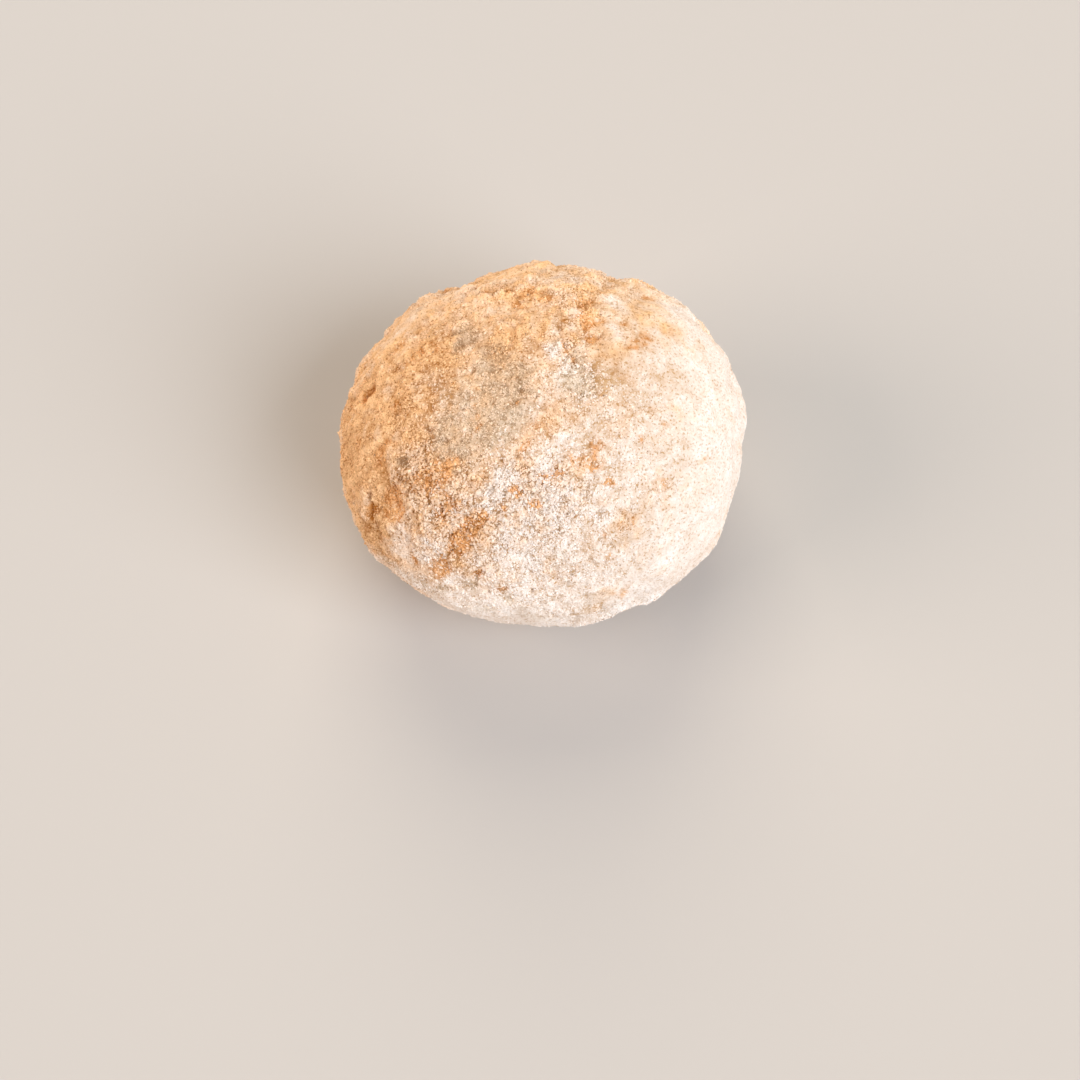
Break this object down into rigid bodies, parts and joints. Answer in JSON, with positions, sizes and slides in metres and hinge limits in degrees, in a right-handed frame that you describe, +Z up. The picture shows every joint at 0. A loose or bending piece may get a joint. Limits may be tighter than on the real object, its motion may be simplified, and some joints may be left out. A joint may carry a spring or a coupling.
{
  "type": "ohagi",
  "caption": "Rounded, slightly oval rice and bean-paste sweet coated in roasted soybean flour, settled on a flat base.",
  "frame": {"origin": "under the middle of the sweet, on the surface it rests on", "axes": "+Z up, +X along the longest side, -Y towards the front"},
  "size_m": [0.0634, 0.0572, 0.0434],
  "materials": {
    "flour_coat": "dry matte flour"
  },
  "bodies": {
    "root": {"ohagi": "flour_coat"}
  },
  "joints": []
}
